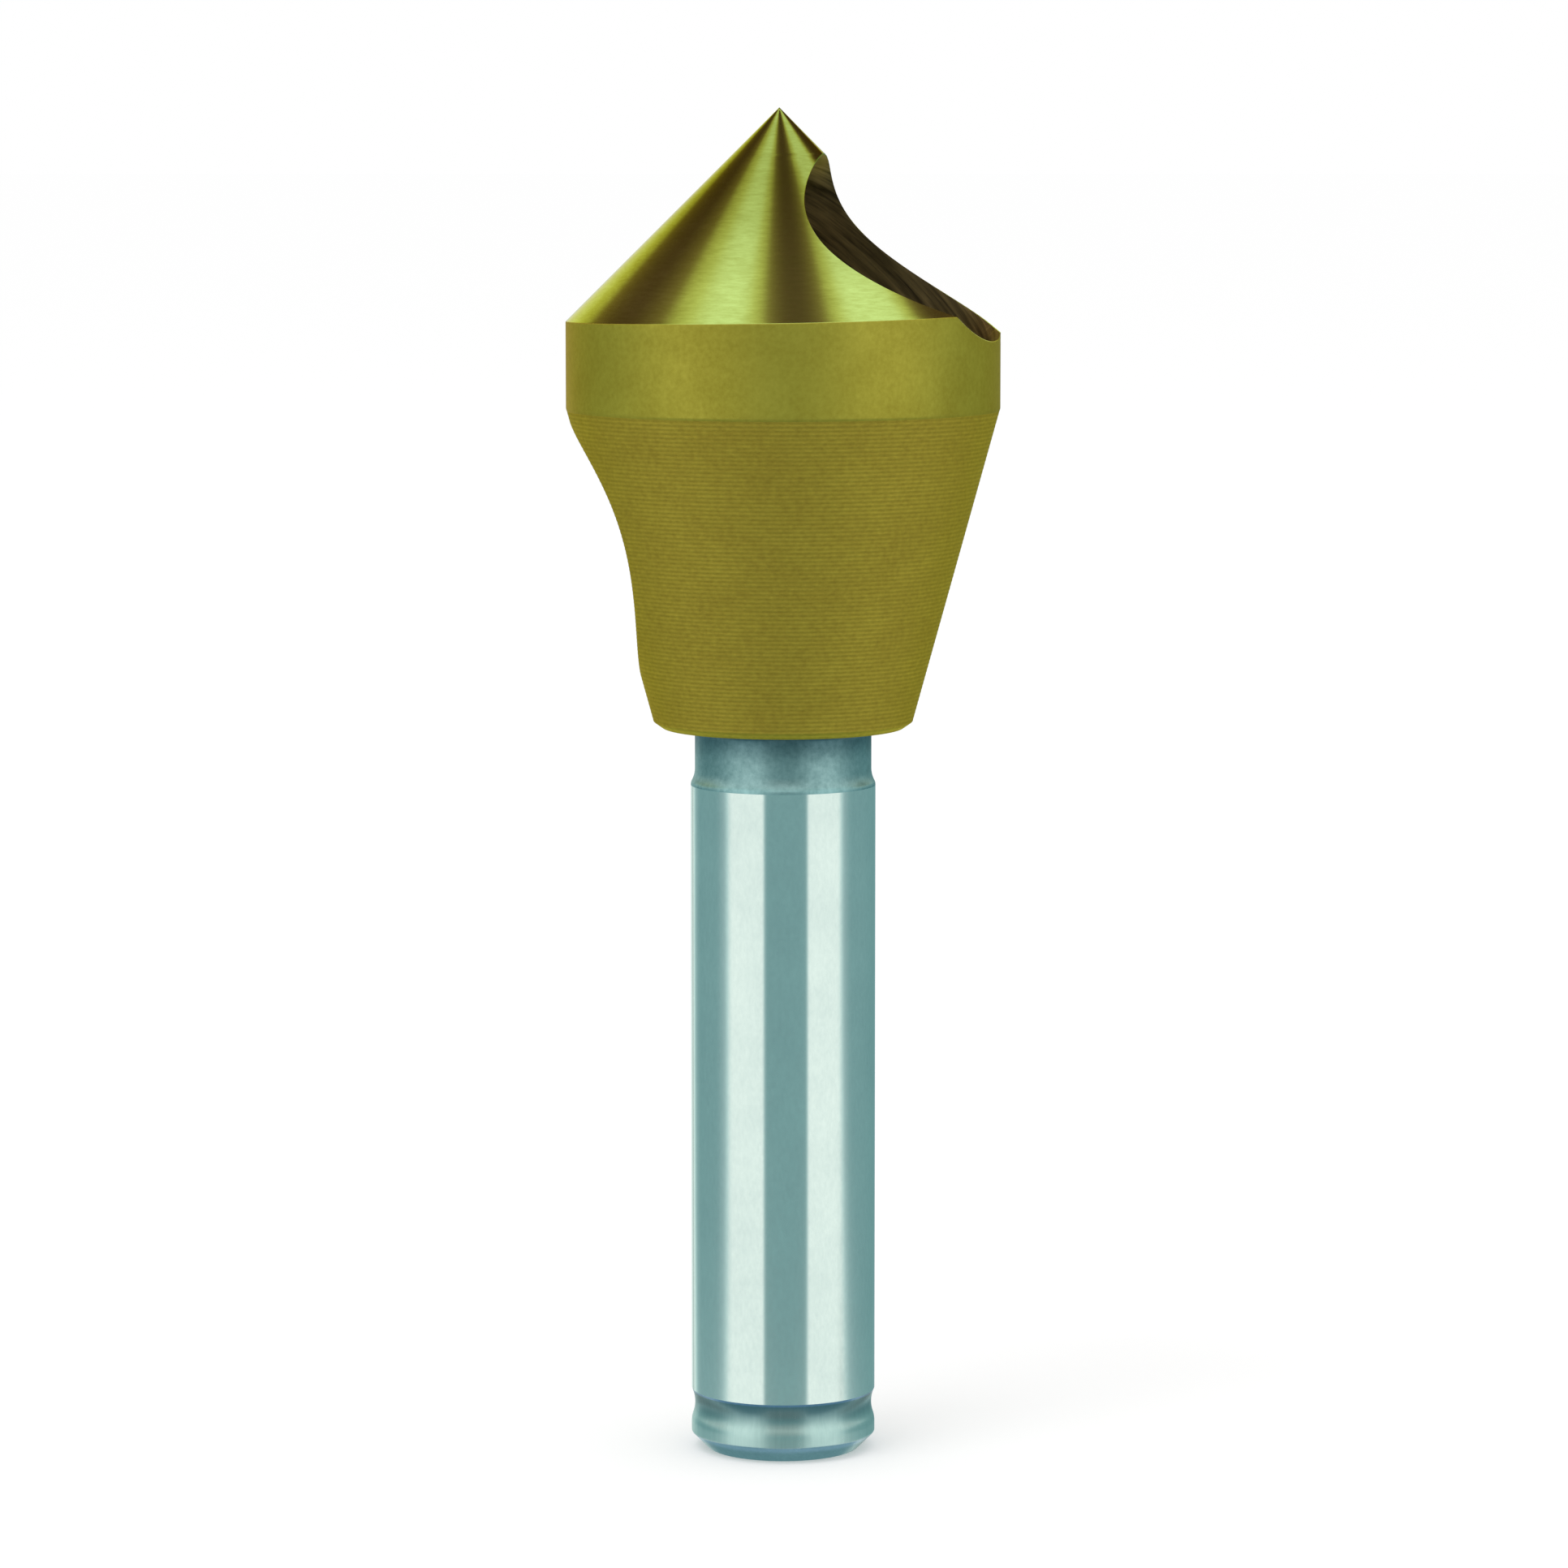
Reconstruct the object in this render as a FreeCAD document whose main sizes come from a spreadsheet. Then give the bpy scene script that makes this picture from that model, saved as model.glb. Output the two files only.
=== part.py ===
import FreeCAD, Part
import math
import os

import Sketcher
from FreeCAD import Vector

# One-piece countersink bit with a slanted cross hole, in millimetres.
# The shank's end face lies on Z = 0, the bit's axis is +Z and the point is at the top.
# Angles about the axis are in degrees from +X. The bit cuts right-handed, so its flank
# falls away behind the cutting edge towards smaller angles.

# Driving dimensions: alias, value, meaning.
DIMENSIONS = [
    ("shank_dia", 12.0, "ground shank"),
    ("shank_length", 43.87, "end face to the hollow below the neck"),
    ("end_chamfer", 1.05, "45 degree chamfer on the shank's end"),
    ("groove_height", 2.95, "end face to the middle of the ring groove"),
    ("groove_depth", 0.22, "ring groove, below the shank's surface"),
    ("groove_round", 2.3, "radius of the ring groove's section"),
    ("neck_dia", 11.46, "relieved neck under the head"),
    ("neck_length", 3.58, "top of the shank to the head's underside"),
    ("neck_hollow", 1.75, "radius of the hollow between shank and neck"),
    ("neck_root", 0.5, "fillet between neck and underside"),
    ("head_dia", 28.0, "band around the head"),
    ("head_base_dia", 16.82, "small end of the back taper"),
    ("bevel_width", 0.6, "bevel on the head's bottom edge, across the axis"),
    ("bevel_height", 0.42, "bevel on the head's bottom edge, along the axis"),
    ("taper_length", 20.28, "back taper, along the axis"),
    ("band_height", 6.15, "top of the back taper to the foot of the cutting edge"),
    ("point_height", 13.1, "foot of the cutting edge to the tip"),
    ("edge_azimuth", -41.0, "angle of the cutting edge's foot"),
    ("relief_drop", 1.355, "fall of the flank's foot from the edge to the start of the return"),
    ("return_arc", 45.0, "arc over which the flank climbs back to the edge"),
    ("tip_offset", 0.43, "distance from the axis to the tip"),
    ("tip_azimuth", -124.0, "direction of that distance"),
    ("hole_dia", 16.25, "slanted cross hole"),
    ("hole_slant", 45.5, "angle between the hole and the bit's axis"),
    ("hole_azimuth", -14.75, "side that the hole's upper end leans to"),
    ("hole_rise", 2.1, "top of the back taper to the point where the hole crosses the axis"),
    ("hole_offset", 0.17, "distance by which the hole misses the bit's axis"),
]

# Bar left above the tip until the point is ground.
STOCK_ALLOWANCE = 2.0
# The flank's lines run on past their foot by this share, so that the flank clears the band,
# and what is ground away is this much wider than the head.
FLANK_SCALE = 1.1
WASTE_SCALE = 1.05
# Angle between the points that the flank's curve is drawn through, at most.
FLANK_STEP = 15.0

# Heights that several features share, as sums of the driving dimensions.
UNDERSIDE = "Dims.shank_length + Dims.neck_length"
BAND_FOOT = UNDERSIDE + " + Dims.bevel_height + Dims.taper_length"
HOLE_CROSSING = BAND_FOOT + " + Dims.hole_rise"


def make_sheet(doc):
    """Spreadsheet with one row for each driving dimension."""
    sheet = doc.addObject("Spreadsheet::Sheet", "Dims")
    for row, (alias, value, meaning) in enumerate(DIMENSIONS, start=1):
        sheet.set(f"A{row}", meaning)
        sheet.set(f"B{row}", str(value))
        sheet.setAlias(f"B{row}", alias)
    doc.recompute()
    return sheet


def add_sketch(body, name, role):
    """Empty sketch on the origin plane of the body that has that role."""
    sketch = body.newObject("Sketcher::SketchObject", name)
    plane = next(item for item in body.Origin.OriginFeatures if item.Role == role)
    sketch.AttachmentSupport = [(plane, "")]
    sketch.MapMode = "FlatFace"
    return sketch


class Outline:
    """Closed outline drawn edge by edge in a sketch.

    A corner is an edge's index with the number of its end point. Sizes are bound between corners.
    """

    ORIGIN = (-1, 1)

    def __init__(self, sketch):
        self.sketch = sketch
        self.place = Vector(0, 0, 0)
        self.corner = self.ORIGIN
        self.tie = "Coincident"

    def join(self, index, start, end, place):
        """Tie a new edge's start to the last corner, and go on from its end."""
        self.sketch.addConstraint(Sketcher.Constraint(self.tie, *self.corner, index, start))
        self.corner = (index, end)
        self.place = place
        self.tie = "Coincident"
        return self.corner

    def line(self, across, along, direction=None):
        """Straight edge to a place, held Horizontal or Vertical where a direction is given."""
        place = Vector(across, along, 0)
        index = self.sketch.addGeometry(Part.LineSegment(self.place, place), False)
        if direction:
            self.sketch.addConstraint(Sketcher.Constraint(direction, index))
        return self.join(index, 1, 2, place)

    def hollow(self, across, along, radius):
        """Concave arc that meets the next, vertical edge smoothly at a place."""
        centre = Vector(across + radius, along, 0)
        start = math.atan2(self.place.y - centre.y, self.place.x - centre.x) % (2 * math.pi)
        circle = Part.Circle(centre, Vector(0, 0, 1), radius)
        index = self.sketch.addGeometry(Part.ArcOfCircle(circle, math.pi, start), False)
        corner = self.join(index, 2, 1, Vector(across, along, 0))
        self.tie = "Tangent"
        return corner

    def close(self):
        """Tie the last corner to the first."""
        self.sketch.addConstraint(Sketcher.Constraint("Coincident", *self.corner, *self.ORIGIN))

    def size(self, name, kind, expression, value, *corners):
        """Distance between corners, or the radius of an edge, that follows the sheet."""
        references = [number for corner in corners for number in corner]
        index = self.sketch.addConstraint(Sketcher.Constraint(kind, *references, value))
        self.sketch.renameConstraint(index, name)
        self.sketch.setExpression(f"Constraints.{name}", expression)


def draw_blank(body, sheet):
    """Half section of the turned blank, with the bar still full size above the band."""
    shank, neck = sheet.shank_dia / 2, sheet.neck_dia / 2
    base, head = sheet.head_base_dia / 2, sheet.head_dia / 2
    step = shank - neck
    hollow_top = sheet.shank_length + math.sqrt(step * (2 * sheet.neck_hollow - step))
    underside = sheet.shank_length + sheet.neck_length
    taper_foot = underside + sheet.bevel_height
    band_foot = taper_foot + sheet.taper_length
    point_stock = sheet.band_height + sheet.point_height + STOCK_ALLOWANCE

    outline = Outline(add_sketch(body, "blank_section", "XZ_Plane"))
    origin = outline.corner
    end_corner = outline.line(shank, 0, "Horizontal")
    shank_corner = outline.line(shank, sheet.shank_length, "Vertical")
    neck_corner = outline.hollow(neck, hollow_top, sheet.neck_hollow)
    root_corner = outline.line(neck, underside, "Vertical")
    bevel_corner = outline.line(base - sheet.bevel_width, underside, "Horizontal")
    taper_corner = outline.line(base, taper_foot)
    band_corner = outline.line(head, band_foot)
    stock_corner = outline.line(head, band_foot + point_stock, "Vertical")
    outline.line(0, band_foot + point_stock, "Horizontal")
    outline.line(0, 0, "Vertical")
    outline.close()

    across = [
        ("shank_radius", "Dims.shank_dia / 2", shank, origin, end_corner),
        ("neck_radius", "Dims.neck_dia / 2", neck, origin, root_corner),
        ("base_radius", "Dims.head_base_dia / 2", base, origin, taper_corner),
        ("head_radius", "Dims.head_dia / 2", head, origin, band_corner),
        ("bevel_width", "Dims.bevel_width", sheet.bevel_width, bevel_corner, taper_corner),
    ]
    for name, expression, value, *corners in across:
        outline.size(name, "DistanceX", expression, value, *corners)

    stock = f"Dims.band_height + Dims.point_height + {STOCK_ALLOWANCE}"
    along = [
        ("shank_length", "Dims.shank_length", sheet.shank_length, end_corner, shank_corner),
        ("neck_length", "Dims.neck_length", sheet.neck_length, shank_corner, root_corner),
        ("bevel_height", "Dims.bevel_height", sheet.bevel_height, bevel_corner, taper_corner),
        ("taper_length", "Dims.taper_length", sheet.taper_length, taper_corner, band_corner),
        ("point_stock", stock, point_stock, band_corner, stock_corner),
    ]
    for name, expression, value, *corners in along:
        outline.size(name, "DistanceY", expression, value, *corners)
    outline.size("neck_hollow", "Radius", "Dims.neck_hollow", sheet.neck_hollow, neck_corner[:1])
    return outline.sketch


def turn_blank(body, sheet):
    """Revolve the half section about the bit's axis."""
    section = draw_blank(body, sheet)
    blank = body.newObject("PartDesign::Revolution", "turned_blank")
    blank.Profile = section
    blank.ReferenceAxis = (section, ["V_Axis"])
    blank.Angle = 360
    return blank


def turn_ring_groove(body, sheet):
    """Shallow ring groove with a round section, turned near the shank's end."""
    section = add_sketch(body, "groove_section", "XZ_Plane")
    reach = sheet.shank_dia / 2 - sheet.groove_depth + sheet.groove_round
    centre = Vector(reach, sheet.groove_height, 0)
    circle = Part.Circle(centre, Vector(0, 0, 1), sheet.groove_round)
    index = section.addGeometry(circle, False)
    reach_rule = "Dims.shank_dia / 2 - Dims.groove_depth + Dims.groove_round"
    sizes = [
        ("groove_round", "Dims.groove_round", ("Radius", index, circle.Radius)),
        ("groove_reach", reach_rule, ("DistanceX", -1, 1, index, 3, centre.x)),
        ("groove_height", "Dims.groove_height", ("DistanceY", -1, 1, index, 3, centre.y)),
    ]
    for name, expression, constraint in sizes:
        number = section.addConstraint(Sketcher.Constraint(*constraint))
        section.renameConstraint(number, name)
        section.setExpression(f"Constraints.{name}", expression)
    groove = body.newObject("PartDesign::Groove", "ring_groove")
    groove.Profile = section
    groove.ReferenceAxis = (section, ["V_Axis"])
    groove.Angle = 360
    return groove


def ring_edge(feature, radius, height):
    """Name of the feature's circular edge of that radius at that height."""
    for number, edge in enumerate(feature.Shape.Edges, start=1):
        curve = edge.Curve
        if isinstance(curve, Part.Circle) and math.isclose(curve.Radius, radius, abs_tol=1e-4):
            if math.isclose(curve.Center.z, height, abs_tol=1e-4):
                return f"Edge{number}"
    raise RuntimeError(f"{feature.Name} has no ring edge of radius {radius} at height {height}")


def dress_ring_edge(body, kind, name, base, edge, size_property, expression):
    """Chamfer or fillet on one ring edge, with its size bound to the sheet."""
    dressing = body.newObject(kind, name)
    dressing.Base = (base, [edge])
    dressing.setExpression(size_property, expression)
    return dressing


def bore_cross_hole(body, sheet):
    """Slanted hole right through the head, from the point's flank to the back taper."""
    section = add_sketch(body, "hole_section", "XY_Plane")
    radius = sheet.hole_dia / 2
    index = section.addGeometry(Part.Circle(Vector(0, 0, 0), Vector(0, 0, 1), radius), False)
    section.addConstraint(Sketcher.Constraint("Coincident", index, 3, -1, 1))
    size = section.addConstraint(Sketcher.Constraint("Radius", index, radius))
    section.renameConstraint(size, "hole_radius")
    section.setExpression("Constraints.hole_radius", "Dims.hole_dia / 2")
    section.setExpression("AttachmentOffset.Rotation.Yaw", "Dims.hole_azimuth")
    section.setExpression("AttachmentOffset.Rotation.Pitch", "Dims.hole_slant")
    section.setExpression("AttachmentOffset.Base.x", "Dims.hole_offset * sin(Dims.hole_azimuth)")
    section.setExpression("AttachmentOffset.Base.y", "-Dims.hole_offset * cos(Dims.hole_azimuth)")
    section.setExpression("AttachmentOffset.Base.z", HOLE_CROSSING)
    hole = body.newObject("PartDesign::Pocket", "cross_hole")
    hole.Profile = section
    hole.Type = "ThroughAll"
    hole.SideType = "Symmetric"
    return hole


def machine_bar(doc, sheet):
    """Bit with every form but the ground point: turned, grooved, chamfered and cross-drilled."""
    body = doc.addObject("PartDesign::Body", "machined_bar")
    turn_blank(body, sheet)
    groove = turn_ring_groove(body, sheet)
    doc.recompute()
    end_edge = ring_edge(groove, sheet.shank_dia / 2, 0)
    chamfer = dress_ring_edge(
        body, "PartDesign::Chamfer", "end_chamfer", groove, end_edge, "Size", "Dims.end_chamfer"
    )
    doc.recompute()
    root_edge = ring_edge(chamfer, sheet.neck_dia / 2, sheet.shank_length + sheet.neck_length)
    dress_ring_edge(
        body, "PartDesign::Fillet", "neck_root", chamfer, root_edge, "Radius", "Dims.neck_root"
    )
    doc.recompute()
    before = body.Shape.Volume
    hole = bore_cross_hole(body, sheet)
    doc.recompute()
    if not hole.Shape.Volume < before:
        raise RuntimeError("The cross hole removed nothing")
    return body


def azimuth_point(radius, azimuth, height):
    """Point at an angle about the bit's axis."""
    turn = math.radians(azimuth)
    return Vector(radius * math.cos(turn), radius * math.sin(turn), height)


def flank_curve(sheet, tip, first, last, fall):
    """Curve that straight lines from the tip over the flank's foot reach on one flat plane.

    first and last are angles behind the cutting edge, and fall gives how far the flank's foot on
    the band lies below the edge's foot at such an angle.
    """
    edge_foot = tip.z - sheet.point_height
    reach = FLANK_SCALE * (sheet.point_height + sheet.relief_drop)
    count = math.ceil((last - first) / FLANK_STEP) + 1
    points = []
    for number in range(count):
        behind = first + (last - first) * number / (count - 1)
        foot_height = edge_foot - fall(behind)
        foot = azimuth_point(sheet.head_dia / 2, sheet.edge_azimuth - behind, foot_height)
        points.append(tip + (foot - tip) * (reach / (tip.z - foot.z)))
    curve = Part.BSplineCurve()
    curve.interpolate(points)
    return curve.toShape()


def flank_cone(sheet, tip):
    """Solid under the flank: its foot falls steadily behind the edge, then climbs back to it."""
    fall_arc = 360 - sheet.return_arc

    def steady_fall(behind):
        return sheet.relief_drop * behind / fall_arc

    def smooth_climb(behind):
        share = (behind - fall_arc) / sheet.return_arc
        return sheet.relief_drop * (1 - share**2 * (3 - 2 * share))

    falling = flank_curve(sheet, tip, 0, fall_arc, steady_fall)
    climbing = flank_curve(sheet, tip, fall_arc, 360, smooth_climb)
    return Part.makeLoft([Part.Wire([falling, climbing]), Part.Vertex(tip)], True, True)


def grinding_waste(doc, sheet):
    """What the grinding wheel takes off the bar: all that stands above the flank."""
    band_foot = sheet.shank_length + sheet.neck_length + sheet.bevel_height + sheet.taper_length
    tip_height = band_foot + sheet.band_height + sheet.point_height
    tip = azimuth_point(sheet.tip_offset, sheet.tip_azimuth, tip_height)
    cone = flank_cone(sheet, tip)
    bottom = Vector(0, 0, cone.BoundBox.ZMin)
    height = tip_height + 2 * STOCK_ALLOWANCE - bottom.z
    waste = doc.addObject("Part::Feature", "grinding_waste")
    waste.Shape = Part.makeCylinder(WASTE_SCALE * sheet.head_dia / 2, height, bottom).cut(cone)
    return waste


def make_bit(doc, sheet):
    """Machined bar with its point ground."""
    bit = doc.addObject("Part::Cut", "countersink_bit")
    bit.Base = machine_bar(doc, sheet)
    bit.Tool = grinding_waste(doc, sheet)
    bit.Label = "countersink_bit"
    doc.recompute()
    return bit


def check_document(doc, parts):
    """Stop if an object failed, or if a part isn't one valid solid."""
    for item in doc.Objects:
        if "Invalid" in item.State or "Error" in item.State:
            raise RuntimeError(f"{item.Name} failed to build")
    for part in parts:
        if part.Shape.isNull() or not part.Shape.isValid() or len(part.Shape.Solids) != 1:
            raise RuntimeError(f"{part.Label} isn't one valid solid")


def main():
    doc = FreeCAD.newDocument("countersink")
    sheet = make_sheet(doc)
    parts = [make_bit(doc, sheet)]
    check_document(doc, parts)
    os.makedirs("parts", exist_ok=True)
    for part in parts:
        part.Shape.exportStep(f"parts/{part.Label}.step")
        box = part.Shape.BoundBox
        print(f"{part.Label}: volume {part.Shape.Volume:.1f} mm3, height {box.ZLength:.2f} mm")


main()
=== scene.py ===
"""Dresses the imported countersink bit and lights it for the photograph's view.

The bit is one bar of tool steel, so it is one closed mesh. The outer skin is a surface of two parameters,
a place along the bar and an azimuth. The slanted hole is a second surface about its own axis, and a narrow
broken edge joins the two at both mouths. Lengths are in millimetres until the mesh is written in metres.
"""

import logging
import math
from dataclasses import dataclass, field
from enum import Enum, IntEnum

import bpy
import numpy as np
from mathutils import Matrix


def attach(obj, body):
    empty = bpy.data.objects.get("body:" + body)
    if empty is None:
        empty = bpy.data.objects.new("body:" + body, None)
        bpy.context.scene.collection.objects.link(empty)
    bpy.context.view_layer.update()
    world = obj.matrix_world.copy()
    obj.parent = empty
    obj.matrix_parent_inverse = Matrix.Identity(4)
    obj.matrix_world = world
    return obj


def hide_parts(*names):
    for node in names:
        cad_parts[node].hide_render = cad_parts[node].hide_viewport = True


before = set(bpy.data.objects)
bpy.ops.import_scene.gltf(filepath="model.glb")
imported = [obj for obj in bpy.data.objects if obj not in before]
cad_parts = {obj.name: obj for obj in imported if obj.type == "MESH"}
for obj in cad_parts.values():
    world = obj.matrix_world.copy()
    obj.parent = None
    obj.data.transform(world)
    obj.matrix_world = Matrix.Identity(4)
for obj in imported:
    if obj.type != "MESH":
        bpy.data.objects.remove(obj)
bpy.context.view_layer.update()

MILLIMETRE = 0.001
WHITE = (1.0, 1.0, 1.0)
FOOT_PLACE = 1.0
SPLIT_PLACE = 2.0
NOISE_MIDDLE = (0.3, 0.7)
QUARTER_TURN = 0.25
log = logging.getLogger("countersink")

Pair = tuple[float, float]
Triple = tuple[float, float, float]
Spot = Pair | np.ndarray
Socket = bpy.types.NodeSocket
Inputs = dict[int | str, Socket | float | Triple]


class Area(IntEnum):
    """The areas of the bit that have their own finish, in the order of the material slots."""

    FLANK = 0
    BAND = 1
    TAPER = 2
    HOLE = 3
    NECK = 4
    SHANK = 5
    END = 6


class Mouth(Enum):
    """The two places where the slanted hole leaves the head, by their azimuth from the hole's own."""

    UPPER = 0.0
    LOWER = 180.0


def softened(before: Spot, corner: Spot, after: Spot, cut: float, steps: int = 4) -> np.ndarray:
    """Rounds one corner of an outline.

    The curve is (1-u)^2 A + 2u(1-u) corner + u^2 C, where A and C lie `cut` from the corner on both sides.

    Args:
        before: Radius and height of the outline's point before the corner.
        corner: The corner itself.
        after: The point after the corner.
        cut: Length taken from each side.
        steps: Number of short sides that make the curve.

    Returns:
        The curve's points, one row each.
    """
    ends = []
    for side in (before, after):
        way = np.subtract(side, corner)
        ends.append(np.add(corner, way * cut / np.hypot(*way)))
    u = np.linspace(0.0, 1.0, steps + 1)[:, None]
    return (1 - u) ** 2 * ends[0] + 2 * u * (1 - u) * np.asarray(corner) + u**2 * ends[1]


def arc(centre: Spot, radius: float, start: float, end: float, steps: int) -> np.ndarray:
    """Points of a circle's arc, centre + radius (cos a, sin a), with a in degrees from start to end."""
    angle = np.radians(np.linspace(start, end, steps + 1))
    return np.asarray(centre) + radius * np.stack([np.cos(angle), np.sin(angle)], axis=-1)


def run(start: Spot, end: Spot, rows: int) -> np.ndarray:
    """Evenly spaced points inside a straight stretch of outline, without its two ends."""
    share = np.linspace(0.0, 1.0, rows + 2)[1:-1, None]
    return np.asarray(start) * (1 - share) + np.asarray(end) * share


@dataclass(frozen=True)
class CrossHole:
    """The slanted hole that makes the cutting edge.

    Its axis leans `slant` degrees from the bar's axis towards `azimuth`, and passes it by `offset`.
    """

    radius: float = 8.125
    slant: float = 45.5
    azimuth: float = -14.75
    height: float = 70.25
    offset: float = 0.17
    edge_break: float = 0.05

    @property
    def mouth_radius(self) -> float:
        """The radius at which the broken edge meets the skin."""
        return self.radius + self.edge_break

    @property
    def turn(self) -> Triple:
        """The rotation that lays a pattern's third direction along the hole's axis, in radians."""
        return (0.0, math.radians(self.slant), math.radians(self.azimuth))

    @property
    def centre(self) -> np.ndarray:
        """The point of the hole's axis that is nearest the bar's axis."""
        turn = math.radians(self.azimuth)
        return np.array([self.offset * math.sin(turn), -self.offset * math.cos(turn), self.height])

    @property
    def directions(self) -> np.ndarray:
        """The three directions that belong to the hole.

        Returns:
            Three unit rows: level across the hole, square to that and the axis, and the axis, leaning up.
        """
        turn, lean = math.radians(self.azimuth), math.radians(self.slant)
        along = [math.sin(lean) * math.cos(turn), math.sin(lean) * math.sin(turn), math.cos(lean)]
        across = [-math.sin(turn), math.cos(turn), 0.0]
        return np.array([across, np.cross(along, across), along])

    def locate(self, points: np.ndarray) -> tuple[np.ndarray, np.ndarray, np.ndarray]:
        """Gives points in cylinder coordinates about the hole's axis.

        Args:
            points: Any array of points, three numbers each.

        Returns:
            The angle about the axis in radians, the place along it, and the distance from it.
        """
        seen = (points - self.centre) @ self.directions.T
        across, up, along = np.moveaxis(seen, -1, 0)
        return np.arctan2(up, across), along, np.hypot(across, up)

    def wall(self, angle: np.ndarray, along: np.ndarray) -> np.ndarray:
        """Gives points of the wall, centre + radius (cos a e1 + sin a e2) + s e3, in the hole's directions.

        Args:
            angle: Angles about the axis, in radians.
            along: Places along the axis, in the same shape.

        Returns:
            The points.
        """
        across, up, axis = self.directions
        ring = np.cos(angle)[..., None] * across + np.sin(angle)[..., None] * up
        return self.centre + self.radius * ring + along[..., None] * axis


@dataclass(frozen=True)
class GroundPoint:
    """The relief-ground point: straight lines from the tip to a foot line that falls behind the edge."""

    radius: float = 14.0
    tip_height: float = 87.4
    tip_offset: float = 0.43
    tip_azimuth: float = -124.0
    edge_azimuth: float = -41.0
    edge_height: float = 74.3
    relief_drop: float = 1.355
    return_arc: float = 45.0

    @property
    def tip(self) -> np.ndarray:
        """The tip, which the grinding leaves a little beside the bar's axis."""
        turn, aside = math.radians(self.tip_azimuth), self.tip_offset
        return np.array([aside * math.cos(turn), aside * math.sin(turn), self.tip_height])

    def foot(self, azimuth: np.ndarray) -> np.ndarray:
        """Gives the foot line of the ground flank.

        The height falls evenly with the angle behind the edge, and climbs back to the edge over the return
        arc by 3s^2 - 2s^3.

        Args:
            azimuth: Azimuths in degrees.

        Returns:
            One point for each azimuth.
        """
        behind = np.mod(self.edge_azimuth - azimuth, 360.0)
        ground = 360.0 - self.return_arc
        share = np.clip((behind - ground) / self.return_arc, 0.0, 1.0)
        fall = np.where(behind <= ground, behind / ground, 1.0 - share**2 * (3.0 - 2.0 * share))
        turn = np.radians(azimuth)
        height = self.edge_height - self.relief_drop * fall
        return np.stack([self.radius * np.cos(turn), self.radius * np.sin(turn), height], axis=-1)


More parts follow.
